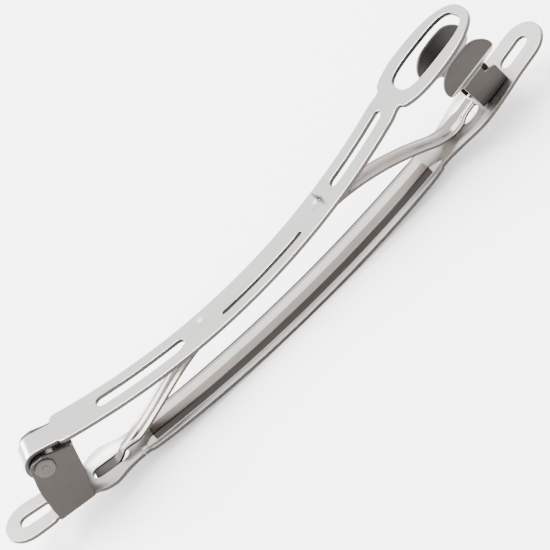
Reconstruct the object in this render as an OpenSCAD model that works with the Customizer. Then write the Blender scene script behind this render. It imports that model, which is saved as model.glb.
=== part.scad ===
// Automatic barrette clip: a sprung clamping arm hinged over an arched base.
// X runs along the clip (hinge end at -X, clasp end at +X), Y across, Z up.
// The origin is under the middle of the base, at its lowest point.

/* [Base] */
// Length of the base from loop tip to loop tip
base_len = 80; // [78:0.5:82]
// Thickness of the base strip
base_t = 0.5; // [0.4:0.05:0.6]
// Radius of the base's arch, at the middle of the sheet
base_r = 158; // [150:1:170]
// Width of the strip between the shoulders
base_w = 4.9; // [4.4:0.1:5.4]
// Width of the shoulders beside the hinge and the clasp
shoulder_w = 6.6; // [6:0.1:7]
// Width of the end loops
loop_w = 5.6; // [5:0.1:6]
// Length of the sewing slot in each end loop
loop_slot_l = 4; // [3.6:0.1:4.4]
// Width of the sewing slot in each end loop
loop_slot_w = 1.7; // [1.4:0.1:2]
// Distance between the centres of the two sewing slots
loop_slot_gap = 72.4; // [72:0.1:72.8]
// Height of the stiffening rib over the strip
rib_h = 0.45; // [0.3:0.05:0.6]
// Width of the stiffening rib
rib_w = 2.6; // [2:0.1:3]

/* [Hinge] */
// Position of the hinge rivet along the clip
pin_x = -30.3; // [-30.4:0.05:-30.2]
// Height of the hinge rivet
pin_z = 10.3; // [10.2:0.05:10.4]
// Radius of the rivet's body, between the ears
pin_r = 1.42; // [1.38:0.01:1.42]
// Radius of the rivet's ends, in the ears
spigot_r = 0.8; // [0.7:0.05:0.9]
// Radius of the rivet's heads
head_r = 1.15; // [1.05:0.05:1.25]
// Distance between the outer faces of the two ears
ear_span = 5.2; // [5.1:0.05:5.3]

/* [Arm] */
// Thickness of the arm's sheet
arm_t = 0.5; // [0.4:0.05:0.55]
// Radius of the arm's arch, at the middle of the sheet
arm_r = 72; // [71:0.5:73]
// Width of the arm
arm_w = 4.7; // [4.4:0.1:4.9]
// Length of the hole in the catch ring
ring_hole_l = 9.5; // [9.3:0.1:9.7]
// Width of the hole in the catch ring
ring_hole_w = 4.5; // [4.4:0.1:4.6]
// Outer width of the catch ring
ring_w = 8.2; // [8:0.1:8.6]

/* [Bow spring] */
// Thickness of the bow spring
bow_t = 0.4; // [0.3:0.05:0.4]
// Width of the bow spring
bow_w = 2.6; // [2.2:0.1:2.7]
// Width of the bow spring's end, between the clasp's walls
bow_end_w = 1.8; // [1.6:0.1:2]

/* [Clasp] */
// Position of the clasp along the clip
clasp_x = 31.6; // [31.4:0.1:31.8]
// Thickness of the clasp's sheet
clasp_t = 0.4; // [0.35:0.05:0.45]
// Length of each finger's lower wall
wall_l = 4; // [3.6:0.1:4.2]
// Length of each finger pad
pad_l = 7; // [6.6:0.1:7.2]

/* [Hidden] */

ARC_FN = 720;        // facets of the long arches
FN = 64;             // facets of small round shapes
STEEL = "silver";
DARK_STEEL = "dimgray";
wide = 40;           // reach of cutting solids beyond the part

base_mid_z = base_t / 2;            // middle of the base's sheet at its lowest point
loop_c = base_len / 2 - loop_w / 2; // middle of each end loop's round end
rib_l = 40;                         // length of the rib
// slots of the base's shoulders and of the arm: middle along, middle across, length, width
base_slots = [[-26.7, 0, 4.8, 1.7], [28.4, 0, 2.6, 1.6]];
arm_slots = [[-16.8, 0.05, 11.4, 1.6], [16.4, 0.15, 9.2, 1.4], [0, -0.75, 12.2, 0.5]];
small_hole = [26.4, 1.3];           // place of the small round hole beside the clasp
small_hole_d = 0.8;
arm_x0 = -3.4;                      // lowest point of the arm's arch
arm_z0 = 6.95;                      // its height, at the middle of the sheet
arm_cz = arm_z0 + arm_r;            // centre of the arm's arch
ring_x = 22;                        // where the arm stops arching and turns into the ring
ring_slope = 9.5;                   // climb of the ring, in degrees
lap = 0.3;                          // overlap of the arm's arch and the ring
root_w = 4.4;                       // width of the ring's root, inside the arm's
ring_z = arm_cz - sqrt(arm_r * arm_r - (ring_x - arm_x0) * (ring_x - arm_x0));
ring_hole_x = 6.4;                  // middle of the ring's hole, from ring_x
ring_mid_x = 5.9;                   // middle of the ring's outline, from ring_x
ring_l = 13.6;                      // length of the ring's outline
fit_gap = 0.04;                     // radial running gap of the rivet
ear_x = -31.8;                      // middle of the ears' foot
ear_tilt = -10.1;                   // lean of the ears, square to the arch at their foot
ear_y = ear_span / 2 - base_t / 2;  // middle of each ear's sheet
curl_t = 0.45;                      // thickness of the arm's curled end
barrel_r = pin_r + fit_gap + curl_t;
barrel_half = 1.7;                  // half of the curled end's width
plate_x = -27.5;                    // where the arm widens beside the ears
crest_gap = 0.15;                   // gap between the arm and the bow's crest
crest_r = arm_r + arm_t / 2 + crest_gap + bow_t / 2;
crest_x1 = -10.3;
crest_x2 = 10.6;
crest_cut = 0.06;                   // half of each gap between the bow's lengths
bow_root = [-24.4, 2.95];
bow_foot = [24.6, 3];
bow_end = [29.3, 4];
bow_narrow_x = 27.6;                // where the bow's end narrows
rivet_r = 0.8;                      // shank of the clasp's rivet
rivet_t = 0.6;                      // its place, from the clasp's middle
rivet_x = clasp_x + rivet_t;
rivet_gap = 0.03;                   // radial gap of that rivet in its holes
rivet_head_r = 1.15;
rivet_head_h = 0.25;
head_h = 0.3;                       // height of each head of the hinge rivet
side_gap = 0.05;                    // gap beside each ear
plate_back = -1.6;                  // back end of the clasp's plate, from the clasp's middle
plate_l = 3.6;                      // its length
clasp_tilt = 10.3;                  // lean of the clasp, square to the arch at its foot
clasp_half = 1.7;                   // middle of each finger's wall, from the centre line
finger_gap = 0.1;                   // gap between each finger and the clasp's plate
plate_n = 0.12;                     // underside of the clasp's plate over the base
wall_n = 0.15;                      // lower edge of each finger
notch_n = 2.5;                      // where each wall narrows to a neck
neck_end = 0.8;                     // end of the neck, from the clasp's middle
shelf_n = 4.05;                     // where each wall turns outwards
shelf_top = [2.65, 5.3];            // outer end of the shelf, where the pad begins
pad_top = [2.75, 8.2];              // top of the pad
pad_mid = [-0.3, 5.35];             // middle of the pad's rounded outline
pad_rise = 2.85;                    // height of that outline over its middle

function base_z(x) = base_mid_z + base_r - sqrt(base_r * base_r - x * x);
function crest_z(x) = arm_cz - sqrt(crest_r * crest_r - (x - arm_x0) * (x - arm_x0));

// Points of a superellipse: half length a, half width b
function oval(a, b, p, n = 72) = [
    for (i = [0 : n - 1])
        let (w = 360 * i / n, c = cos(w), s = sin(w))
        [a * sign(c) * pow(abs(c), 2 / p), b * sign(s) * pow(abs(s), 2 / p)]
];

// One point of a cubic curve from p0 to p3 that leaves towards p1 and arrives from p2
function curve_at(p, u) =
    pow(1 - u, 3) * p[0] + 3 * pow(1 - u, 2) * u * p[1]
    + 3 * (1 - u) * u * u * p[2] + pow(u, 3) * p[3];
function curve(p, n = 12) = [for (i = [0 : n]) curve_at(p, i / n)];

// Outline of a sheet of thickness t whose middle follows the points
function unit(v) = v / norm(v);
function side(pts, i) =
    let (a = pts[max(i - 1, 0)], b = pts[min(i + 1, len(pts) - 1)], d = unit(b - a))
    [-d[1], d[0]];
function sheet(pts, t) = concat(
    [for (i = [0 : len(pts) - 1]) pts[i] + side(pts, i) * t / 2],
    [for (i = [len(pts) - 1 : -1 : 0]) pts[i] - side(pts, i) * t / 2]
);

// A flat outline in X and Z, drawn out across the clip
module across(w) {
    rotate([90, 0, 0]) linear_extrude(w, center = true) children();
}

// A curved sheet of mid radius r whose arch is centred over x, with its middle line at z
module arched_sheet(r, t, x, z, w) {
    translate([x, 0, z + r]) rotate([90, 0, 0]) difference() {
        cylinder(h = w, r = r + t / 2, center = true, $fn = ARC_FN);
        cylinder(h = w + 2, r = r - t / 2, center = true, $fn = ARC_FN);
    }
}

module slot2d(l, w) {
    square([l - w, w], center = true);
    for (s = [-1, 1]) translate([s * (l - w) / 2, 0]) circle(d = w, $fn = FN);
}

module slots2d(list) {
    for (s = list) translate([s[0], s[1]]) slot2d(s[2], s[3]);
}

// Half outline of the base between its loops, on the far side, from left to right
function base_edge() = [
    [-36.5, loop_w / 2], [-34.4, ear_span / 2], [-29.4, ear_span / 2],
    [-28.2, shoulder_w / 2 - 0.2], [-26.8, shoulder_w / 2 - 0.1], [-25, shoulder_w / 2 - 0.6],
    [-21.5, base_w / 2], [21.5, base_w / 2], [24.6, base_w / 2 + 0.1],
    [27.5, shoulder_w / 2 - 0.3], [29.2, shoulder_w / 2], [32.5, shoulder_w / 2 - 0.2],
    [36.5, loop_w / 2]
];

module base_outline() {
    edge = base_edge();
    last = len(edge) - 1;
    difference() {
        union() {
            polygon(concat(edge, [for (i = [last : -1 : 0]) [edge[i][0], -edge[i][1]]]));
            for (s = [-1, 1]) translate([s * loop_c, 0]) circle(d = loop_w, $fn = FN);
            for (s = [-1, 1]) translate([s * (loop_c - 0.5), 0]) square([1, loop_w], center = true);
        }
        for (s = [-1, 1]) translate([s * loop_slot_gap / 2, 0]) slot2d(loop_slot_l, loop_slot_w);
        slots2d(base_slots);
        translate(small_hole) circle(d = small_hole_d, $fn = FN);
        translate([rivet_x, 0]) circle(r = rivet_r + rivet_gap, $fn = FN);
    }
}

// Side view of one hinge ear, from its foot on the base
module ear2d() {
    polygon([
        [-2.3, -0.35], [2.2, -0.35], [3.3, 3.6], [4, 6.9], [3.8, 7.15], [2.3, 7.5],
        [0.5, 8.1], [-1.1, 7.2], [-1.7, 5.6], [-1.95, 4]
    ]);
    translate([0.15, 6.75]) circle(r = 1.4, $fn = FN);
}

// The arched strip with its loops, slots, raised rib and the two hinge ears folded up from its edges
module base_plate() {
    color(STEEL) difference() {
        union() {
            intersection() {
                arched_sheet(base_r, base_t, 0, base_mid_z, 20);
                translate([0, 0, -1]) linear_extrude(12) base_outline();
            }
            intersection() {
                arched_sheet(base_r - base_t / 2 - rib_h / 2, rib_h, 0, base_t, rib_w);
                translate([0, 0, -1]) linear_extrude(12) square([rib_l, 8], center = true);
            }
            for (s = [-1, 1]) on_base(ear_x, ear_tilt) translate([0, s * ear_y, 0]) across(base_t) ear2d();
        }
        translate([pin_x, 0, pin_z]) rotate([90, 0, 0])
            cylinder(h = 20, r = spigot_r + fit_gap, center = true, $fn = FN);
    }
}

// Places children on the base at x, square to a bed that leans by tilt
module on_base(x, tilt) {
    translate([x, 0, base_z(x) + base_t / 2]) rotate([0, -tilt, 0]) children();
}

// The rivet that the arm turns on: a shouldered body with an end and a peened head on each side
module hinge_rivet() {
    body = ear_span / 2 - base_t - side_gap;
    reach = ear_span / 2 + side_gap;
    color(STEEL) translate([pin_x, 0, pin_z]) rotate([90, 0, 0]) {
        cylinder(h = 2 * body, r = pin_r, center = true, $fn = FN);
        cylinder(h = 2 * reach, r = spigot_r, center = true, $fn = FN);
        for (s = [0, 1]) mirror([0, 0, s]) translate([0, 0, reach]) {
            cylinder(h = head_h / 3, r = head_r, $fn = FN);
            translate([0, 0, head_h / 3])
                cylinder(h = head_h * 2 / 3, r1 = head_r, r2 = head_r * 0.7, $fn = FN);
        }
    }
}

module arm_outline() {
    difference() {
        union() {
            translate([plate_x, -arm_w / 2]) square([ring_x + lap - plate_x, arm_w]);
            translate([pin_x - 1, -barrel_half]) square([plate_x - pin_x + 2, 2 * barrel_half]);
        }
        slots2d(arm_slots);
    }
}

module ring_outline() {
    difference() {
        union() {
            translate([ring_mid_x, 0]) polygon(oval(ring_l / 2, ring_w / 2, 2.1));
            translate([-0.6, -root_w / 2]) square([3, root_w]);
        }
        translate([ring_hole_x, 0]) polygon(oval(ring_hole_l / 2, ring_hole_w / 2, 3.2));
        translate([-wide - 0.2, -wide / 2]) square([wide, wide]);
    }
}

// The arched arm with its slots, the end curled round the rivet and the catch ring
module clamping_arm() {
    color(STEEL) difference() {
        union() {
            intersection() {
                arched_sheet(arm_r, arm_t, arm_x0, arm_z0, 12);
                linear_extrude(20) arm_outline();
                translate([pin_x - 0.3, -wide / 2, 0]) cube([2 * wide, wide, wide]);
            }
            translate([pin_x, 0, pin_z]) rotate([90, 0, 0])
                cylinder(h = 2 * barrel_half, r = barrel_r, center = true, $fn = FN);
            translate([ring_x, 0, ring_z]) rotate([0, -ring_slope, 0])
                translate([0, 0, -arm_t / 2]) linear_extrude(arm_t) ring_outline();
        }
        translate([pin_x, 0, pin_z]) rotate([90, 0, 0])
            cylinder(h = 20, r = pin_r + fit_gap, center = true, $fn = FN);
    }
}

// The bow spring is one strip. It is made in three lengths, which turn on each other as it flattens
module bow_root_leg() {
    top = [crest_x1, crest_z(crest_x1)];
    pts = curve([bow_root, bow_root + [4.5, 0.5], top + [-4.6, -0.6], top]);
    color(STEEL) difference() {
        across(bow_w) polygon(sheet(pts, bow_t));
        translate([crest_x1 - crest_cut, -wide / 2, -1]) cube([wide, wide, wide]);
    }
}

module bow_crest() {
    color(STEEL) intersection() {
        arched_sheet(crest_r, bow_t, arm_x0, arm_cz - crest_r, bow_w);
        translate([crest_x1 + crest_cut, -wide / 2, 0])
            cube([crest_x2 - crest_x1 - 2 * crest_cut, wide, 12]);
    }
}

module bow_tip_leg() {
    top = [crest_x2, crest_z(crest_x2)];
    down = curve([top, top + [4, -0.1], bow_foot + [-4.6, 3], bow_foot]);
    run = curve([bow_foot, bow_foot + [1.4, -0.05], bow_end + [-1.8, -0.35], bow_end], 6);
    pts = concat(down, [for (i = [1 : len(run) - 1]) run[i]]);
    color(STEEL) difference() {
        across(bow_w) polygon(sheet(pts, bow_t));
        translate([crest_x2 + crest_cut - wide, -wide / 2, 0]) cube([wide, wide, wide]);
        for (s = [0, 1]) mirror([0, s, 0]) translate([bow_narrow_x, bow_end_w / 2, 0]) cube([9, 2, 9]);
    }
}

// The clasp's floor, between its two fingers
module clasp_plate() {
    half = clasp_half - clasp_t / 2 - finger_gap;
    color(DARK_STEEL) on_base(clasp_x, clasp_tilt) difference() {
        translate([plate_back, -half, plate_n]) cube([plate_l, 2 * half, clasp_t]);
        translate([rivet_t, 0, -2]) cylinder(h = 6, r = rivet_r + rivet_gap, $fn = FN);
    }
}

// The rivet that holds the clasp's floor down on the base
module clasp_rivet() {
    low = -base_t - side_gap;
    high = plate_n + clasp_t + rivet_gap;
    color(STEEL) on_base(clasp_x, clasp_tilt) translate([rivet_t, 0, 0]) {
        translate([0, 0, low]) cylinder(h = high - low, r = rivet_r, $fn = FN);
        translate([0, 0, high])
            cylinder(h = rivet_head_h, r1 = rivet_head_r, r2 = rivet_r, $fn = FN);
        translate([0, 0, low - rivet_head_h])
            cylinder(h = rivet_head_h, r1 = rivet_r, r2 = rivet_head_r, $fn = FN);
    }
}

// Side view of one finger: wall, neck and rounded pad
module finger_side() {
    translate([-wall_l / 2, 0]) square([wall_l, notch_n]);
    translate([-wall_l / 2, 0]) square([wall_l / 2 + neck_end, shelf_top[1] + 0.4]);
    intersection() {
        translate(pad_mid) polygon(oval(pad_l / 2, pad_rise, 2.4));
        translate([-pad_l, shelf_top[1] - 0.1]) square([2 * pad_l, 4]);
    }
}

// End view of the far finger: wall, shelf leading outwards, upright pad
module finger_end() {
    polygon(sheet([[clasp_half, wall_n], [clasp_half, shelf_n], shelf_top, pad_top], clasp_t));
}

module finger() {
    on_base(clasp_x, clasp_tilt) intersection() {
        rotate([90, 0, 90]) linear_extrude(12, center = true) finger_end();
        across(12) finger_side();
    }
}

module near_finger() {
    color(DARK_STEEL) mirror([0, 1, 0]) finger();
}

module far_finger() {
    color(DARK_STEEL) finger();
}

base_plate();
hinge_rivet();
clamping_arm();
bow_root_leg();
bow_crest();
bow_tip_leg();
clasp_plate();
near_finger();
far_finger();
clasp_rivet();
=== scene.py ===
"""Automatic barrette clip: the looks of its pressed, curled and riveted metal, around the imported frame.

Lengths in the classes are millimetres. Meshes are built in millimetres and brought to metres at the end.
X runs along the clip from hinge to clasp, Y across it and Z up.
"""

from __future__ import annotations

import logging
import math
from dataclasses import dataclass, field
from enum import Enum
from typing import Callable, Iterable, Sequence

import bmesh
import bpy
from mathutils import Matrix, Vector

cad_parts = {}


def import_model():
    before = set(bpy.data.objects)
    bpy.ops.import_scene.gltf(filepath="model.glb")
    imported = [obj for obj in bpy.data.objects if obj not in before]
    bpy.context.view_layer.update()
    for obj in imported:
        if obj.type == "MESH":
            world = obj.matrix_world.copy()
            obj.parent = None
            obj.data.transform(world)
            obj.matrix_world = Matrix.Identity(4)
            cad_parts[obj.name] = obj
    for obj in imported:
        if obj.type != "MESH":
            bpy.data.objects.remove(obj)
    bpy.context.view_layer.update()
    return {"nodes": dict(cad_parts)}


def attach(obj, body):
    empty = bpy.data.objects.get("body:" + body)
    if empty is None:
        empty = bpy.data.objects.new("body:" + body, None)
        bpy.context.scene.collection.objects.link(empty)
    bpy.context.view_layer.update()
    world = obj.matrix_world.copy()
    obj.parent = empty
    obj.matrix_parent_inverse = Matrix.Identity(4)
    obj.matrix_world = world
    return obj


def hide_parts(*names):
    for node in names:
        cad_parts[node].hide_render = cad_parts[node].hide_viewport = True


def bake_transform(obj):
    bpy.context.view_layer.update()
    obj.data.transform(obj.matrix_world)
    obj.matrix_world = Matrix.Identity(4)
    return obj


LOG = logging.getLogger("barrette")
MM = 0.001
CREASE = math.radians(20)
Flat = tuple[float, float]
Loop = list[Flat]


# ---------------------------------------------------------------- small helpers


def smooth_step(low: float, high: float, value: float) -> float:
    """Returns 0 below low, 1 above high and a smooth ramp between them."""
    t = min(max((value - low) / (high - low), 0.0), 1.0)
    return t * t * (3 - 2 * t)


def spaced(low: float, high: float, step: float) -> list[float]:
    """Returns values from low to high, about step apart."""
    count = max(1, round((high - low) / step))
    return [low + (high - low) * i / count for i in range(count + 1)]


def curve_through(points: Sequence[Flat], steps: int = 8) -> Loop:
    """Draws a smooth line through the points.

    Args:
        points: places that the line passes through.
        steps: pieces of line between two points.

    Returns:
        The line's points, ends included.
    """
    ends = [points[0], *points, points[-1]]
    line: Loop = []
    for a, b, c, d in zip(ends, ends[1:], ends[2:], ends[3:]):
        for i in range(steps):
            t = i / steps
            line.append(
                tuple(
                    0.5
                    * (
                        2 * q
                        + (r - p) * t
                        + (2 * p - 5 * q + 4 * r - s) * t * t
                        + (3 * q - p - 3 * r + s) * t**3
                    )
                    for p, q, r, s in zip(a, b, c, d)
                )
            )
    return [*line, tuple(points[-1])]


def cubic(points: Sequence[Flat], steps: int = 24) -> Loop:
    """Draws a cubic curve.

    Args:
        points: its four control points.
        steps: pieces of line along it.

    Returns:
        The curve's points, ends included.
    """
    line: Loop = []
    for i in range(steps + 1):
        u = i / steps
        weights = ((1 - u) ** 3, 3 * (1 - u) ** 2 * u, 3 * (1 - u) * u * u, u**3)
        line.append(tuple(sum(w * p[k] for w, p in zip(weights, points)) for k in (0, 1)))
    return line


def slot_loop(x: float, y: float, length: float, width: float, steps: int = 8) -> Loop:
    """Draws a slot with round ends.

    Args:
        x: its middle on X.
        y: its middle on Y.
        length: its whole length.
        width: its width.
        steps: pieces of line round each end.

    Returns:
        The slot's outline.
    """
    r, reach = width / 2, (length - width) / 2
    loop: Loop = []
    for side, start in ((1, -90), (-1, 90)):
        for i in range(steps + 1):
            a = math.radians(start + 180 * i / steps)
            loop.append((x + side * reach + r * math.cos(a), y + r * math.sin(a)))
    return loop


def oval_loop(
    x: float, half_l: float, half_w: float, power: float, taper: float = 0.0, steps: int = 64
) -> Loop:
    """Draws an oval.

    Args:
        x: its middle on X.
        half_l: half its length.
        half_w: half its width.
        power: how full it is, 2 for an ellipse and more for a squarer one.
        taper: share by which it is narrower at its +X end and wider at the other.
        steps: points round it.

    Returns:
        The oval's outline.
    """
    loop: Loop = []
    for i in range(steps):
        a = 2 * math.pi * i / steps
        c, s = math.cos(a), math.sin(a)
        u = math.copysign(abs(c) ** (2 / power), c)
        v = math.copysign(abs(s) ** (2 / power), s)
        loop.append((x + half_l * u, half_w * v * (1 - taper * u)))
    return loop


# ---------------------------------------------------------------- finishes


def linear(code: str) -> tuple[float, float, float, float]:
    """Turns an sRGB hex colour into the linear colour that a shader takes."""
    parts = [int(code[i : i + 2], 16) / 255 for i in (1, 3, 5)]
    return (*(p / 12.92 if p <= 0.04045 else ((p + 0.055) / 1.055) ** 2.4 for p in parts), 1.0)


def add_node(
    tree: bpy.types.NodeTree, kind: str, links: dict | None = None, **settings: object
) -> bpy.types.Node:
    """Adds a node, sets its fields and sockets and links its inputs.

    Args:
        tree: the nodes that it joins.
        kind: the node's type name.
        links: input name or number to the output socket that feeds it.
        settings: fields of the node, or input sockets by name, with _ for a space.

    Returns:
        The new node.
    """
    made = tree.nodes.new(kind)
    for key, value in settings.items():
        if hasattr(made, key):
            setattr(made, key, value)
        else:
            made.inputs[key.replace("_", " ")].default_value = value
    for key, source in (links or {}).items():
        tree.links.new(source, made.inputs[key])
    return made


class Polish(Enum):
    """How far the nickel was polished: roughness of the shine."""

    BRIGHT = 0.2
    SATIN = 0.3
    TUMBLED = 0.4


@dataclass(frozen=True)
class NickelPlate:
    """Electroplated nickel over stamped steel: a warm grey mirror, broken up by tumbling marks.

    Attributes:
        name: the material's name.
        light: colour of the clean plate.
        dull: colour where handling has dulled it.
        polish: how far it was polished.
        marks: depth of the tumbling marks, in millimetres.
        handling: size of the clouds that fingers leave, in millimetres.
        tumbling: distance between tumbling marks, in millimetres, coarser than real so that they show.
        rolling: length, distance and height of the strip's rolling lines, in millimetres.
        shinier: how far the roughness goes below the polish in the rolling lines.
        duller: how far it goes above it.
        relief: strength of the marks in the shading.
    """

    name: str
    light: str
    dull: str
    polish: Polish
    marks: float = 0.004
    handling: float = 6.0
    tumbling: float = 0.35
    rolling: tuple[float, float, float] = (8.0, 0.2, 0.6)
    shinier: float = 0.07
    duller: float = 0.09
    relief: float = 0.35

    def colour(self, tree: bpy.types.NodeTree, place: bpy.types.NodeSocket) -> bpy.types.NodeSocket:
        """Colours the plate, with the clouds that fingers leave on it.

        Args:
            tree: the material's nodes.
            place: the point on the piece.

        Returns:
            The output that gives the colour.
        """
        size = 1 / (self.handling * MM)
        cloud = add_node(tree, "ShaderNodeTexNoise", {"Vector": place}, Scale=size, Detail=3.0)
        mix = add_node(tree, "ShaderNodeMix", {"Factor": cloud.outputs["Fac"]}, data_type="RGBA")
        for socket in mix.inputs:
            if socket.type == "RGBA":
                socket.default_value = linear(self.light if socket.name == "A" else self.dull)
        return next(socket for socket in mix.outputs if socket.type == "RGBA")

    def build(self) -> bpy.types.Material:
        """Makes the material.

        Returns:
            The finished material.
        """
        material = bpy.data.materials.new(self.name)
        material.use_nodes = True
        tree = material.node_tree
        tree.nodes.clear()
        place = add_node(tree, "ShaderNodeTexCoord").outputs["Object"]
        size = 1 / (self.tumbling * MM)
        grain = add_node(tree, "ShaderNodeTexNoise", {"Vector": place}, Scale=size, Detail=4.0)
        stretch = add_node(
            tree, "ShaderNodeMapping", {"Vector": place}, Scale=[1 / (each * MM) for each in self.rolling]
        )
        lines = add_node(
            tree, "ShaderNodeTexNoise", {"Vector": stretch.outputs["Vector"]}, Scale=1.0, Detail=2.0
        )
        rough = add_node(
            tree,
            "ShaderNodeMapRange",
            {"Value": lines.outputs["Fac"]},
            To_Min=self.polish.value - self.shinier,
            To_Max=self.polish.value + self.duller,
        )
        heights = add_node(
            tree, "ShaderNodeMath", {0: grain.outputs["Fac"], 1: lines.outputs["Fac"]}, operation="ADD"
        )
        bump = add_node(
            tree,
            "ShaderNodeBump",
            {"Height": heights.outputs["Value"]},
            Strength=self.relief,
            Distance=self.marks * MM,
        )
        shader = add_node(
            tree,
            "ShaderNodeBsdfPrincipled",
            {
                "Base Color": self.colour(tree, place),
                "Roughness": rough.outputs["Result"],
                "Normal": bump.outputs["Normal"],
            },
            Metallic=1.0,
        )
        add_node(tree, "ShaderNodeOutputMaterial", {"Surface": shader.outputs["BSDF"]})
        return material


# colours of the same plating on this clip, from polished faces to dull sheared edges; the darker ones are
# painted shade, on the crown's near half, the slopes, ears and fingers, the cut edges and the rivets
STRIP = NickelPlate("nickel_plated_strip", "#aaa8a5", "#979490", Polish.SATIN)
BRIGHT = NickelPlate("bright_nickel_arm", "#b6b5b2", "#a9a7a3", Polish.BRIGHT)
SPRING = NickelPlate("nickel_spring_strip", "#918b85", "#6c655f", Polish.BRIGHT)
# painted shade: the near half of the crown's top, darker where the rounded crown turns from the light
CROWN_SHADE = NickelPlate("crown_painted_shade", "#6f6761", "#5f5751", Polish.SATIN)
# painted shade: a dark copy of the plate for the crown's slopes, the ears, the fingers and the bow's hook
SHADED = NickelPlate("painted_shade_nickel_sides", "#3b3836", "#302d2b", Polish.TUMBLED)
# dull sheared edges, made darker as painted shade; also the painted shade on the base's far border
SHEAR_AND_SHADE = NickelPlate("sheared_edge_painted_shade", "#4a4643", "#393633", Polish.TUMBLED)
# rivet heads, darkened like the ears as painted shade
PEENED_SHADE = NickelPlate("peened_rivet_painted_shade", "#4b4845", "#383532", Polish.SATIN, marks=0.01)


# ---------------------------------------------------------------- sheet metal


@dataclass
class SheetPress:
    """Makes pressed sheet metal: blanks a flat outline, cuts it fine, bends it and gives it thickness."""

    thickness: float = 0.5
    edge: float = 0.06
    sliver: float = 0.02
    closest: float = 0.08
    edge_steps: int = 2
    edge_angle: float = math.radians(50)

    def blank(self, outline: Loop, holes: Iterable[Loop] = ()) -> bmesh.types.BMesh:
        """Blanks a flat sheet.

        Args:
            outline: its outer edge.
            holes: the edges of its holes.

        Returns:
            A flat mesh in X and Y.
        """
        sheet = bmesh.new()
        edges = []
        for loop in (outline, *holes):
            corners = [sheet.verts.new((x, y, 0.0)) for x, y in loop]
            edges += [sheet.edges.new((a, b)) for a, b in zip(corners, corners[1:] + corners[:1])]
        bmesh.ops.triangle_fill(sheet, use_beauty=True, use_dissolve=False, edges=edges)
        return sheet

    def cut_fine(self, sheet: bmesh.types.BMesh, along: Iterable[float], across: Iterable[float]) -> None:
        """Cuts the flat sheet, so that it can bend.

        Args:
            sheet: the blank.
            along: places of the cuts on X.
            across: places of the cuts on Y.
        """
        for normal, places in (((1, 0, 0), along), ((0, 1, 0), across)):
            last = -math.inf
            for value in sorted(places):
                if value - last < self.closest:
                    continue
                last = value
                point = [value * n for n in normal]
                bmesh.ops.bisect_plane(
                    sheet,
                    geom=sheet.verts[:] + sheet.edges[:] + sheet.faces[:],
                    dist=1e-4,
                    plane_co=point,
                    plane_no=normal,
                )

    def form(self, sheet: bmesh.types.BMesh, bend: Callable[[float, float], Vector]) -> None:
        """Bends the sheet and points its faces one way.

        Args:
            sheet: the flat sheet.
            bend: gives the place of a point of the flat sheet.
        """
        for corner in sheet.verts:
            corner.co = bend(corner.co.x, corner.co.y)
        bmesh.ops.remove_doubles(sheet, verts=sheet.verts[:], dist=self.sliver)
        bmesh.ops.recalc_face_normals(sheet, faces=sheet.faces[:])

    def finish(self, name: str, sheets: Sequence[bmesh.types.BMesh], finish: NickelPlate) -> bpy.types.Object:
        """Gives the formed sheets thickness and rounded edges.

        Args:
            name: the piece's name.
            sheets: formed sheets, each of its own.
            finish: what they are plated with.

        Returns:
            One object, in metres, with its modifiers applied.
        """
        parts = []
        for number, sheet in enumerate(sheets):
            part = object_from(f"{name}_{number}", sheet, None)
            dress(part, finish, SHEAR_AND_SHADE)
            shell = part.modifiers.new("sheet", "SOLIDIFY")
            shell.thickness = self.thickness * MM
            shell.offset = 0.0
            shell.use_even_offset = True
            # the rims take the second finish: duller shear, painted dark as shade
            shell.material_offset_rim = 1
            rounding = part.modifiers.new("edge", "BEVEL")
            rounding.width = self.edge * MM
            rounding.segments = self.edge_steps
            rounding.limit_method = "ANGLE"
            rounding.angle_limit = self.edge_angle
            rounding.use_clamp_overlap = False
            bake(part)
            parts.append(part)
        return joined(name, parts, finish)


def object_from(name: str, mesh: bmesh.types.BMesh, finish: NickelPlate | None) -> bpy.types.Object:
    """Turns a mesh in millimetres into an object in metres.

    Args:
        name: the object's name.
        mesh: the mesh, which is freed.
        finish: what it is plated with, if anything yet.

    Returns:
        The object, in the scene.
    """
    bmesh.ops.transform(mesh, matrix=Matrix.Scale(MM, 4), verts=mesh.verts[:])
    data = bpy.data.meshes.new(name)
    mesh.to_mesh(data)
    mesh.free()
    piece = bpy.data.objects.new(name, data)
    bpy.context.scene.collection.objects.link(piece)
    if finish:
        dress(piece, finish)
    return piece


def bake(piece: bpy.types.Object) -> None:
    """Applies the piece's modifiers to its mesh.

    Args:
        piece: the object.
    """
    graph = bpy.context.evaluated_depsgraph_get()
    data = bpy.data.meshes.new_from_object(piece.evaluated_get(graph))
    piece.modifiers.clear()
    piece.data = data


def joined(name: str, parts: Sequence[bpy.types.Object], finish: NickelPlate) -> bpy.types.Object:
    """Joins the parts to one smooth-shaded piece.

    Args:
        name: the piece's name.
        parts: the objects that it is made of, which are removed.
        finish: what it is plated with, apart from its sheared edges, which are also painted dark as shade.

    Returns:
        The piece.
    """
    whole = bmesh.new()
    for part in parts:
        whole.from_mesh(part.data)
        bpy.data.objects.remove(part)
    data = bpy.data.meshes.new(name)
    whole.to_mesh(data)
    whole.free()
    data.shade_smooth()
    data.set_sharp_from_angle(angle=CREASE)
    piece = bpy.data.objects.new(name, data)
    bpy.context.scene.collection.objects.link(piece)
    kept = [face.material_index for face in data.polygons]
    dress(piece, finish, SHEAR_AND_SHADE)
    data.polygons.foreach_set("material_index", kept)
    even = piece.modifiers.new("even_shine", "WEIGHTED_NORMAL")
    even.keep_sharp = True
    even.weight = 100
    bake(piece)
    return piece


_made: dict[str, bpy.types.Material] = {}


def plating(finish: NickelPlate) -> bpy.types.Material:
    """Plates a piece.

    Args:
        finish: the plating.

    Returns:
        The finish's material, built once.
    """
    if finish.name not in _made:
        _made[finish.name] = finish.build()
    return _made[finish.name]


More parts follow.
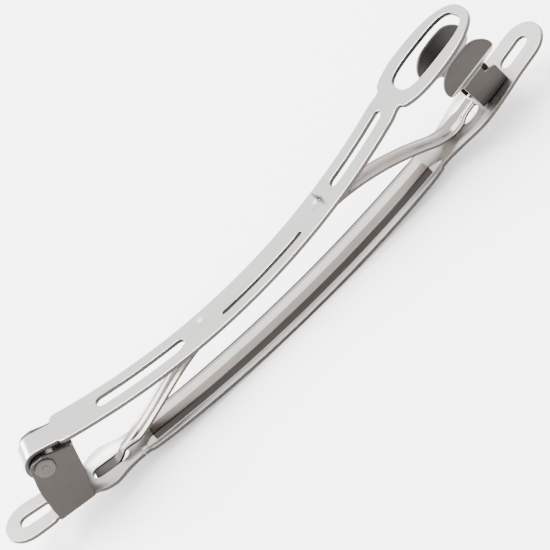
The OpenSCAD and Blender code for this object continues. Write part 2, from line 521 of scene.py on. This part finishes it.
def dress(piece: bpy.types.Object, *finishes: NickelPlate) -> None:
    """Gives the piece its finishes.

    Args:
        piece: the object.
        finishes: the finish of all its faces, then those that single faces may take.
    """
    piece.data.materials.clear()
    for finish in finishes:
        piece.data.materials.append(plating(finish))


def repaint(
    piece: bpy.types.Object, finish: NickelPlate, chosen: Callable[[Vector, Vector], bool]
) -> None:
    """Gives some of the piece's faces another finish.

    Args:
        piece: the object.
        finish: their finish.
        chosen: picks a face by its middle, in millimetres, and its normal.
    """
    piece.data.materials.append(plating(finish))
    last = len(piece.data.materials) - 1
    for face in piece.data.polygons:
        if chosen(face.center / MM, face.normal):
            face.material_index = last


def report(piece: bpy.types.Object, body: str, slot: str, *nodes: str) -> None:
    """Fastens a finished piece to its body and logs it.

    Args:
        piece: the object.
        body: the body that it rides on.
        slot: the record's material slot that it is finished as; not used.
        nodes: the CAD nodes that it takes the place of.
    """
    if nodes:
        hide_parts(*nodes)
    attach(piece, body)
    LOG.info("%s on %s, %d faces", piece.name, body, len(piece.data.polygons))


# ---------------------------------------------------------------- base


@dataclass
class Base:
    """The arched base: loops with sewing slots, dished shoulders, a raised middle and two folded ears."""

    half_l: float = 39.92
    loop_r: float = 2.8
    arch_r: float = 158.0
    sheet: float = 0.5
    strip_half: float = 2.65
    shoulder_half: float = 3.25
    ear_half: float = 2.6
    crown: float = 0.62
    crown_top: float = 1.3
    crown_foot: float = 1.9
    crown_half_l: float = 20.6
    crown_run_out: float = 2.5
    crown_steps: float = 0.085
    dishes: tuple[Flat, Flat] = ((-26.7, 3.1), (28.0, 2.6))
    dish_half_w: float = 2.0
    dish_depth: float = 0.3
    far_shade_from: float = 2.3
    far_shade_half_l: float = 24.0
    sewing_slot: Flat = (4.0, 1.7)
    slot_x: float = 36.2
    ear_x: float = -31.8
    ear_tilt: float = math.radians(-10.1)
    press: SheetPress = field(default_factory=SheetPress)

    def height(self, x: float) -> float:
        """Returns the height of the middle of the sheet at x, before the crown."""
        return self.sheet / 2 + self.arch_r - math.sqrt(self.arch_r**2 - x * x)

    def relief(self, x: float, y: float) -> float:
        """Works out how far the pressing stands over the plain arch.

        Args:
            x: place along the blank.
            y: place across it.

        Returns:
            The height of the crown there, less the depth of the dishes.
        """
        crown = self.crown * smooth_step(self.crown_foot, self.crown_top, abs(y))
        crown *= 1 - smooth_step(self.crown_half_l, self.crown_half_l + self.crown_run_out, abs(x))
        dish = 0.0
        for middle, length in self.dishes:
            reach = ((x - middle) / length) ** 2 + (y / self.dish_half_w) ** 2
            dish -= self.dish_depth * math.exp(-(reach**2))
        return crown + dish

    def bend(self, x: float, y: float) -> Vector:
        """Returns the place of a point of the flat blank."""
        return Vector((x, y, self.height(x) + self.relief(x, y)))

    def outline(self) -> Loop:
        """Draws the blank's outer edge.

        Returns:
            The edge, from the left loop along one side and back along the other.
        """
        upper = curve_through(
            [
                (-36.6, self.loop_r),
                (-34.7, self.ear_half + 0.04),
                (-33.9, self.ear_half - 0.2),
                (-29.8, self.ear_half - 0.2),
                (-28.4, self.shoulder_half - 0.25),
                (-26.8, self.shoulder_half - 0.05),
                (-24.8, 2.55),
                (-22.4, 2.3),
                (-19.5, self.strip_half),
                (0.0, self.strip_half + 0.1),
                (19.5, self.strip_half),
                (22.4, 2.2),
                (24.8, 2.5),
                (27.6, 3.1),
                (29.3, self.shoulder_half),
                (32.0, self.shoulder_half - 0.15),
                (34.5, 2.85),
                (36.6, self.loop_r),
            ],
            6,
        )
        end = self.half_l - self.loop_r
        right = [
            (end + self.loop_r * math.sin(math.radians(a)), self.loop_r * math.cos(math.radians(a)))
            for a in range(0, 181, 12)
        ]
        lower = [(x, -y) for x, y in reversed(upper)]
        left = [(-x, -y) for x, y in right]
        return [*upper, *right, *lower, *left]

    def holes(self) -> list[Loop]:
        """Draws the holes of the blank.

        Returns:
            The edges of the sewing slots, the shoulders' slots and the small round hole.
        """
        return [
            slot_loop(-self.slot_x, 0, *self.sewing_slot),
            slot_loop(self.slot_x, 0, *self.sewing_slot),
            slot_loop(-26.7, 0, 4.8, 1.7),
            slot_loop(28.4, 0, 2.6, 1.6),
            slot_loop(26.4, 1.3, 0.81, 0.8),
        ]

    def on_slope(self, middle: Vector, normal: Vector) -> bool:
        """Says whether a face is on one of the crown's slopes, which are painted dark as shade."""
        outside = self.crown_top - 0.1 < abs(middle.y) < self.crown_foot
        return outside and abs(middle.x) < self.crown_half_l and 0.25 < abs(normal.y) < 0.9

    def on_shaded_crown_half(self, middle: Vector, normal: Vector) -> bool:
        """Says whether a face is on the near half of the crown's top, which is painted darker as shade."""
        return -self.crown_top < middle.y < 0.0 and abs(middle.x) < self.crown_half_l and normal.z > 0.8

    def on_far_edge(self, middle: Vector, normal: Vector) -> bool:
        """Says whether a face is on the strip's far border, which is painted dark as shade."""
        return middle.y > self.far_shade_from and abs(middle.x) < self.far_shade_half_l and normal.z > 0.5

    def ear_outline(self) -> Loop:
        """Draws an ear from the side.

        Returns:
            Its outline, along the base and square to it from the ear's foot.
        """
        corner, corner_n = 1.25, 6.75
        turn = [math.radians(a) for a in range(0, 80, 12)]
        head = [(-corner * math.cos(a), corner_n + corner * math.sin(a)) for a in turn]
        return [
            (-2.3, -0.45),
            (2.2, -0.45),
            (2.35, 0.4),
            (3.3, 3.6),
            (3.95, 6.6),
            (4.0, 6.9),
            (3.85, 7.12),
            (2.3, 7.5),
            (0.7, 8.02),
            *reversed(head),
            (-1.7, 5.2),
            (-1.95, 4.0),
            (-2.2, 1.5),
        ]

    def build(self) -> None:
        """Makes the base sheet and its two ears."""
        strip = self.press.blank(self.outline(), self.holes())
        slope = spaced(self.crown_top - 0.1, self.crown_foot + 0.15, self.crown_steps)
        across = [s * y for s in (-1, 1) for y in (0.35, 0.8, *slope, 2.3)] + [0.0]
        self.press.cut_fine(strip, spaced(-39, 39, 1.0), across)
        self.press.form(strip, self.bend)
        piece = self.press.finish("base_sheet", [strip], STRIP)
        # paints the crown's slopes dark as shade
        repaint(piece, SHADED, self.on_slope)
        # paints the near half of the crown's top darker as shade
        repaint(piece, CROWN_SHADE, self.on_shaded_crown_half)
        # paints the far border of the strip dark as shade
        repaint(piece, SHEAR_AND_SHADE, self.on_far_edge)
        report(piece, "base", "nickel_base", "base_plate")

        ears = []
        foot = Vector((self.ear_x, 0, self.height(self.ear_x) + self.sheet / 2))
        turn = Matrix.Translation(foot) @ Matrix.Rotation(-self.ear_tilt, 4, "Y")
        for side in (-1, 1):
            ear = self.press.blank(self.ear_outline())
            middle = side * (self.ear_half - self.sheet / 2)
            self.press.form(ear, lambda t, n, y=middle: turn @ Vector((t, y, n)))
            ears.append(ear)
        # the ears are painted dark as shade
        piece = self.press.finish("hinge_ears", ears, SHADED)
        report(piece, "base", "nickel_base")


# ---------------------------------------------------------------- arm


@dataclass
class Arm:
    """The clamping arm: a strip with slots and dents, a curl round the rivet and the catch ring at its end."""

    radius: float = 72.0
    low_x: float = -3.4
    low_z: float = 6.95
    half_w: float = 2.35
    tongue_near: float = 1.9
    tongue_far: float = 1.2
    pin_x: float = -30.3
    pin_z: float = 10.3
    curl_sweep: float = math.radians(240)
    ring_x: float = 22.0
    ring_slope: float = math.radians(9.5)
    ring_join: float = 2.25
    plate_x: float = -27.5
    plate_corner: float = 0.9
    dents: tuple[Flat, Flat] = ((-8.4, 0.75), (9.5, 0.3))
    dent_depth: float = 0.1
    dent_r: float = 0.5
    press: SheetPress = field(default_factory=SheetPress)

    def __post_init__(self) -> None:
        """Works out where the arch ends on both sides."""
        self.centre_z = self.low_z + self.radius
        self.to_pin = Vector((self.pin_x - self.low_x, self.pin_z - self.centre_z))
        self.curl_r = self.to_pin.length - self.radius
        self.curl_start = -self.radius * math.asin(-self.to_pin.x / self.to_pin.length)
        self.ring_start = self.along(self.ring_x)

    def along(self, x: float) -> float:
        """Returns the length along the arch at x, from its lowest point."""
        return self.radius * math.asin((x - self.low_x) / self.radius)

    def bend(self, s: float, y: float) -> Vector:
        """Bends the blank.

        Args:
            s: length along the blank, from the arch's lowest point.
            y: place across it.

        Returns:
            The place of that point on the curl, the arch or the ring.
        """
        if s < self.curl_start:
            a = math.atan2(-self.to_pin.y, -self.to_pin.x) + (self.curl_start - s) / self.curl_r
            return Vector((self.pin_x + self.curl_r * math.cos(a), y, self.pin_z + self.curl_r * math.sin(a)))
        if s > self.ring_start:
            x0, z0 = self.on_arch(self.ring_start)
            run = s - self.ring_start
            return Vector((x0 + run * math.cos(self.ring_slope), y, z0 + run * math.sin(self.ring_slope)))
        x, z = self.on_arch(s)
        for dent_x, dent_y in self.dents:
            away = math.hypot(x - dent_x, y - dent_y)
            z -= self.dent_depth * math.exp(-((away / self.dent_r) ** 2))
        return Vector((x, y, z))

    def on_arch(self, s: float) -> Flat:
        """Returns x and z of the arch at length s."""
        a = s / self.radius
        return self.low_x + self.radius * math.sin(a), self.centre_z - self.radius * math.cos(a)

    def outline(self) -> Loop:
        """Draws the blank's outer edge.

        Returns:
            The edge, round the tongue, the plate, the strip, the neck and the ring.
        """
        end = self.curl_start - self.curl_r * self.curl_sweep
        ring = [(self.ring_start + x, y) for x, y in oval_loop(5.75, 6.5, 4.0, 2.4, 0.05)]
        upper = [p for p in ring if p[1] > self.ring_join and p[0] > self.ring_start]
        far_end = max(x for x, _ in upper)
        tip = sorted((p for p in ring if p[0] > far_end and abs(p[1]) <= self.ring_join), key=lambda p: -p[1])
        neck = curve_through(
            [
                (self.along(20.4), self.half_w),
                (self.ring_start - 1.0, self.half_w - 0.06),
                (self.ring_start - 0.3, 2.14),
                (self.ring_start + 0.25, 2.2),
            ],
            5,
        )
        rim = sorted((p for p in upper if p[0] > self.ring_start + 0.4), key=lambda p: p[0])
        start, corner = self.along(self.plate_x), self.plate_corner
        turn = [math.radians(a) for a in range(0, 91, 15)]
        sides = []
        for tongue in (self.tongue_far, self.tongue_near):
            reach = self.half_w - tongue
            shoulder = [(start + corner * (1 - math.cos(a)), tongue + reach * math.sin(a)) for a in turn]
            sides.append([(end, tongue), *shoulder, *neck, *rim])
        return [*sides[0], *tip, *((x, -y) for x, y in reversed(sides[1]))]

    def holes(self) -> list[Loop]:
        """Draws the holes of the blank.

        Returns:
            The edges of the three slots and the ring's hole.
        """
        hole = [(self.ring_start + x, y) for x, y in oval_loop(6.4, 4.75, 2.25, 3.2)]
        return [
            slot_loop(self.along(-16.8), 0.05, 11.6, 1.6),
            slot_loop(self.along(16.3), 0.15, 9.4, 1.3),
            slot_loop(self.along(0), -0.75, 12.2, 0.5),
            hole,
        ]

    def build(self) -> None:
        """Makes the arm in one piece."""
        sheet = self.press.blank(self.outline(), self.holes())
        end = self.curl_start - self.curl_r * self.curl_sweep
        along = [
            *spaced(end + 0.2, self.curl_start, 0.25),
            *spaced(self.curl_start + 0.8, self.ring_start, 0.8),
            *spaced(self.along(-9.2), self.along(-7.6), 0.2),
            *spaced(self.along(8.7), self.along(10.3), 0.2),
            *spaced(self.ring_start + 1, self.ring_start + 12, 1.0),
        ]
        self.press.cut_fine(sheet, along, [-1.9, -0.3, 0.1, 0.3, 0.5, 0.7, 0.9, 1.1, 1.9])
        self.press.form(sheet, self.bend)
        piece = self.press.finish("clamping_arm_sheet", [sheet], BRIGHT)
        report(piece, "arm", "nickel_arm", "clamping_arm")


# ---------------------------------------------------------------- bow spring


@dataclass
class BowSpring:
    """The ridged bow spring, in two halves that meet in the middle of its crest."""

    sheet: float = 0.3
    half_w: float = 1.3
    end_half: float = 0.85
    hook_half: float = 0.68
    hook_taper: float = 0.23
    ridge: float = 0.26
    crest_x: Flat = (-10.3, 10.6)
    crest_gap: float = 0.6
    hook_end: float = -24.9
    turn_half_l: float = 2.6
    arm: Arm = field(default_factory=Arm)

    def crest_z(self, x: float) -> float:
        """Returns the height of the crest's middle line at x."""
        r = self.arm.radius + self.crest_gap
        return self.arm.centre_z - math.sqrt(r * r - (x - self.arm.low_x) ** 2)

    def path(self) -> Loop:
        """Draws the strip from the side.

        Returns:
            Its middle line in X and Z, from its hook in the shoulder to its other end.
        """
        a, b = ((x, self.crest_z(x)) for x in self.crest_x)
        hook = curve_through(
            [(-28.8, 2.62), (-28.0, 2.48), (-27.0, 2.3), (-26.0, 2.18), (-25.1, 2.5), (-24.4, 2.95)], 5
        )
        up = cubic([(-24.4, 2.95), (-19.9, 3.45), (a[0] - 4.6, a[1] - 0.6), a])
        crest = [(x, self.crest_z(x)) for x in spaced(*self.crest_x, 0.8)]
        down = cubic([b, (b[0] + 4, b[1] - 0.1), (20.0, 6.0), (24.6, 3.0)])
        foot = cubic([(24.6, 3.0), (26.0, 2.95), (27.5, 3.65), (29.3, 4.0)], 12)
        line = [*hook, *up[1:], *crest[1:], *down[1:], *foot[1:]]
        # the bend where the leg meets its foot is rounded
        for _ in range(10):
            line = [
                p if not 22.8 < p[0] < 26.6 else ((a[0] + 2 * p[0] + b[0]) / 4, (a[1] + 2 * p[1] + b[1]) / 4)
                for a, p, b in zip([line[0], *line], line, [*line[1:], line[-1]])
            ]
        return line

    def half_width(self, x: float) -> float:
        """Works out the strip's width.

        Args:
            x: place along the strip.

        Returns:
            Half its width there, less at the hook and at the far end.
        """
        width = self.hook_half + (self.half_w - self.hook_half) * smooth_step(-24.3, -21.8, x)
        width -= self.hook_taper * smooth_step(28.2, 28.8, -x)
        return width - (self.half_w - self.end_half) * smooth_step(26.6, 27.8, x)

    def half(self, name: str, line: Loop) -> bpy.types.Object:
        """Makes one half of the strip, with its ridge pressed up along its middle.

        Args:
            name: the piece's name.
            line: its middle line.

        Returns:
            The finished piece.
        """
        press = SheetPress(self.sheet, 0.05)
        sheet = bmesh.new()
        shares = [i / 6 for i in range(-6, 7)]
        bmesh.ops.create_grid(sheet, x_segments=len(line) - 1, y_segments=len(shares) - 1, size=1.0)
        steps = len(line) - 1

        def bend(u: float, v: float) -> Vector:
            """Bends the grid.

            Args:
                u: place along the grid, from -1 to 1.
                v: place across it, from -1 to 1.

            Returns:
                The place of that point of the strip.
            """
            i = min(steps, max(0, round((u + 1) / 2 * steps)))
            x, z = line[i]
            before, after = line[max(i - 1, 0)], line[min(i + 1, steps)]
            slope = math.atan2(after[1] - before[1], after[0] - before[0])
            ridge = self.ridge * smooth_step(-24.6, -21.5, x) * (1 - 0.6 * smooth_step(23, 25, x))
            rise = -ridge * smooth_step(0.22, 0.55, abs(v))
            return Vector((x - rise * math.sin(slope), v * self.half_width(x), z + rise * math.cos(slope)))

        press.form(sheet, bend)
        return press.finish(name, [sheet], SPRING)

    def build(self) -> None:
        """Makes both halves."""
        line = self.path()
        left = [p for p in line if p[0] <= 0.0]
        right = [left[-1], *(p for p in line if p[0] > 0.0)]
        halves = (
            ("bow_spring_hinge_half", left, ("bow_root", "bow_crest"), ("bow_root_leg", "bow_crest")),
            ("bow_spring_clasp_half", right, ("bow_crest", "bow_tip"), ("bow_tip_leg",)),
        )
        for x, (name, points, bodies, nodes) in zip(self.crest_x, halves):
            piece = self.half(name, points)
            # paints the hook's tail inside the shoulder slot dark as shade
            repaint(piece, SHADED, lambda middle, _: middle.x < self.hook_end)
            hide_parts(*nodes)
            z = self.crest_z(x)
            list(bodies)
            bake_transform(piece)
            LOG.info("%s between %s and %s", name, *bodies)


# ---------------------------------------------------------------- clasp


@dataclass
class Clasp:
    """The U-shaped clasp spring: a floor and two fingers with flared, rounded pads."""

    x: float = 31.6
    tilt: float = math.radians(10.3)
    sheet: float = 0.4
    wall_half: float = 2.0
    shelf: Flat = (3.9, 5.4)
    pad_drop: float = 2.75
    neck_end: float = 0.78
    base: Base = field(default_factory=Base)

    def stand(self) -> Matrix:
        """Returns the clasp's own axes: along the base, across it and square to it."""
        foot = Vector((self.x, 0, self.base.height(self.x) + self.base.sheet / 2))
        return Matrix.Translation(foot) @ Matrix.Rotation(-self.tilt, 4, "Y")

    def side_line(self) -> Loop:
        """Draws a finger from the clip's end.

        Returns:
            Its line across and up, from the bend at the floor to the pad's top.
        """
        wall = [(1.62, 0.18), (1.7, 0.5), (1.7, 2.2), (1.7, 3.75)]
        flare = [(1.86, 4.3), (2.45, 5.02), (2.66, 5.5), (2.72, 6.6), (2.7, 8.0)]
        return curve_through([*wall, *flare], 6)

    def finger_outline(self, top: float) -> Loop:
        """Draws the finger's flat blank.

        Args:
            top: length of the blank, from the bend at the floor to the pad's top.

        Returns:
            Its outline, along the clip and up the sheet.
        """
        w, pad_low = self.wall_half, top - self.pad_drop
        return curve_through(
            [
                (-w, 0.0),
                (-w, 2.6),
                (-w - 0.15, pad_low - 1.3),
                (-3.0, pad_low - 0.8),
                (-3.6, pad_low - 0.2),
                (-3.8, pad_low + 0.6),
                (-3.4, top - 1.15),
                (-2.2, top - 0.22),
                (-0.3, top),
                (1.7, top - 0.22),
                (2.75, top - 1.1),
                (3.2, pad_low + 0.6),
                (3.0, pad_low - 0.2),
                (2.7, pad_low - 0.8),
                (1.6, pad_low - 1.25),
                (self.neck_end + 0.1, pad_low - 1.6),
                (self.neck_end, 3.2),
                (self.neck_end + 0.15, 2.75),
                (w - 0.3, 2.5),
                (w, 2.3),
                (w, 1.9),
                (w, 0.0),
            ],
            5,
        )

    def on_shelf(self, middle: Vector, normal: Vector) -> bool:
        """Says whether a face is on the shelf that leads out to a pad, which keeps the plain strip tone among
        the finger's painted shade.
        """
        n = (self.stand().inverted() @ middle).z
        return self.shelf[0] < n < self.shelf[1] and 0.2 < abs(normal.z) < 0.8

    def build(self) -> None:
        """Makes the floor and both fingers."""
        press = SheetPress(self.sheet, 0.06)
        stand = self.stand()
        line = self.side_line()
        lengths = [0.0]
        for a, b in zip(line, line[1:]):
            lengths.append(lengths[-1] + math.dist(a, b))

        def place(side: int) -> Callable[[float, float], Vector]:
            """Picks how a finger is bent.

            Args:
                side: -1 for the near finger and 1 for the far one.

            Returns:
                The bend of that finger.
            """

            def bend(t: float, v: float) -> Vector:
                """Bends the blank.

                Args:
                    t: place along the clip.
                    v: length up the sheet.

                Returns:
                    The place of that point of the finger.
                """
                i = next((k for k in range(len(lengths) - 1) if lengths[k + 1] >= v), len(lengths) - 2)
                share = min(1.0, (v - lengths[i]) / (lengths[i + 1] - lengths[i]))
                y, n = (p + (q - p) * share for p, q in zip(line[i], line[i + 1]))
                return stand @ Vector((t, side * y, n))

            return bend

        for body, side in (("near_finger", -1), ("far_finger", 1)):
            finger = press.blank(self.finger_outline(lengths[-1]))
            press.cut_fine(finger, spaced(-3.5, 3, 0.5), lengths[1:-1])
            press.form(finger, place(side))
            # the fingers are painted dark as shade; their shelves keep the plain strip tone
            piece = press.finish(body + "_sheet", [finger], SHADED)
            repaint(piece, STRIP, self.on_shelf)
            report(piece, body, "dark_clasp", body)

        floor = press.blank([(-1.6, -1.45), (2.0, -1.45), (2.0, 1.45), (-1.6, 1.45)])
        press.form(floor, lambda t, y: stand @ Vector((t, y, 0.32)))
        piece = press.finish("clasp_floor", [floor], STRIP)
        report(piece, "base", "dark_clasp", "clasp_plate")


# ---------------------------------------------------------------- rivets


@dataclass
class Rivet:
    """A peened rivet, spun from its profile: a shank, a shouldered body and two domed heads."""

    name: str
    place: Matrix
    shank_r: float
    head_r: float
    grip: float
    body_r: float = 0.0
    body_half: float = 0.0
    rise: float = 0.3
    finish: NickelPlate = PEENED_SHADE

    def profile(self) -> Loop:
        """Draws one half of the rivet.

        Returns:
            Radius and height along it, from its waist to the head's middle.
        """
        half = self.grip / 2
        line: Loop = [(self.shank_r, 0.0)]
        if self.body_r:
            line = [(self.body_r, 0.0), (self.body_r, self.body_half)]
        line += [(self.shank_r, self.body_half), (self.shank_r, half), (self.head_r - 0.05, half)]
        line += [(self.head_r, half + 0.06)]
        for share in (0.92, 0.8, 0.64):
            line.append((self.head_r * share, half + self.rise * (1 - 0.45 * share**2)))
        # shallow ring left by the peening punch
        line += [(self.head_r * 0.56, half + self.rise * 0.74), (self.head_r * 0.44, half + self.rise * 0.74)]
        line += [(self.head_r * 0.36, half + self.rise * 0.96), (0.0, half + self.rise)]
        return line

    def build(self, body: str, node: str) -> None:
        """Spins the rivet and fastens it.

        Args:
            body: the body that it rides on.
            node: the CAD node that it takes the place of.
        """
        half = self.profile()
        whole = [(r, -z) for r, z in reversed(half)] + half[1:]
        mesh = bmesh.new()
        corners = [mesh.verts.new((r, 0.0, z)) for r, z in whole]
        edges = [mesh.edges.new(pair) for pair in zip(corners, corners[1:])]
        bmesh.ops.spin(
            mesh,
            geom=corners + edges,
            cent=(0, 0, 0),
            axis=(0, 0, 1),
            angle=2 * math.pi,
            steps=48,
            use_merge=True,
        )
        bmesh.ops.remove_doubles(mesh, verts=mesh.verts[:], dist=1e-4)
        bmesh.ops.recalc_face_normals(mesh, faces=mesh.faces[:])
        bmesh.ops.transform(mesh, matrix=self.place, verts=mesh.verts[:])
        piece = joined(self.name, [object_from(self.name + "_spun", mesh, None)], self.finish)
        report(piece, body, "nickel_rivet", node)


# ---------------------------------------------------------------- studio


@dataclass
class Studio:
    """A pale floor, soft light and the camera."""

    eye: tuple[float, float, float] = (2.77, -94.1, 78.6)
    azimuth: float = math.radians(-1.19)
    elevation: float = math.radians(37.85)
    roll: float = math.radians(44.84)
    lens: float = 72.0

    def camera(self) -> None:
        """Places the camera above the near side, rolled so that the clip runs corner to corner."""
        data = bpy.data.cameras.new("camera")
        data.lens = self.lens
        data.sensor_width = 36.0
        data.clip_start, data.clip_end = 0.005, 10.0
        ahead = Vector(
            (
                math.sin(self.azimuth) * math.cos(self.elevation),
                math.cos(self.azimuth) * math.cos(self.elevation),
                -math.sin(self.elevation),
            )
        )
        right = Vector((math.cos(self.azimuth), -math.sin(self.azimuth), 0))
        up = right.cross(ahead)
        side = math.cos(self.roll) * right - math.sin(self.roll) * up
        top = math.sin(self.roll) * right + math.cos(self.roll) * up
        turn = Matrix((side, top, -ahead)).transposed().to_4x4()
        camera = bpy.data.objects.new("camera", data)
        camera.matrix_world = Matrix.Translation(Vector(self.eye) * MM) @ turn
        bpy.context.scene.collection.objects.link(camera)
        bpy.context.scene.camera = camera

    def floor(self) -> None:
        """Lays the pale floor under the clip."""
        mesh = bmesh.new()
        bmesh.ops.create_grid(mesh, x_segments=1, y_segments=1, size=900)
        floor = object_from("floor", mesh, None)
        material = bpy.data.materials.new("pale_paper")
        material.use_nodes = True
        shader = material.node_tree.nodes["Principled BSDF"]
        shader.inputs["Base Color"].default_value = linear("#fbfbfa")
        shader.inputs["Roughness"].default_value = 0.9
        floor.data.materials.append(material)

    def light(self, name: str, spot: tuple[float, float, float], size: float, power: float) -> None:
        """Hangs a square soft light that faces the clip.

        Args:
            name: its name.
            spot: where it hangs, in millimetres.
            size: its side, in millimetres.
            power: its power, in watts.
        """
        data = bpy.data.lights.new(name, "AREA")
        data.size = size * MM
        data.energy = power
        lamp = bpy.data.objects.new(name, data)
        lamp.location = Vector(spot) * MM
        lamp.rotation_euler = (-Vector(spot)).to_track_quat("-Z", "Y").to_euler()
        bpy.context.scene.collection.objects.link(lamp)

    def build(self) -> None:
        """Sets up the whole studio."""
        self.camera()
        self.floor()
        world = bpy.data.worlds.new("studio")
        world.use_nodes = True
        background = world.node_tree.nodes["Background"]
        background.inputs["Color"].default_value = linear("#f4f5f7")
        background.inputs["Strength"].default_value = 3.6
        bpy.context.scene.world = world
        self.light("overhead", (-40, 120, 420), 320, 6.0)
        self.light("far_side", (-260, 260, 220), 200, 2.5)


# ---------------------------------------------------------------- the clip


def main() -> None:
    """Builds the studio and each sub-assembly of the clip in turn."""
    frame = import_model()
    LOG.info("frame has %d nodes", len(frame["nodes"]))
    Studio().build()
    arm = Arm()
    base = Base()
    clasp = Clasp(base=base)
    base.build()
    arm.build()
    BowSpring(arm=arm).build()
    clasp.build()
    across = Matrix.Translation((arm.pin_x, 0, arm.pin_z)) @ Matrix.Rotation(math.pi / 2, 4, "X")
    hinge = Rivet("hinge_rivet_turned", across, 0.8, 1.15, grip=5.3, body_r=1.42, body_half=2.05)
    hinge.build("rivet", "hinge_rivet")
    hold = clasp.stand() @ Matrix.Translation((0.6, 0, 0))
    Rivet("clasp_rivet_turned", hold, 0.8, 1.15, grip=1.14, rise=0.25).build("base", "clasp_rivet")


if __name__ == "__main__":
    logging.basicConfig(level=logging.INFO, format="%(name)s: %(message)s")
    main()
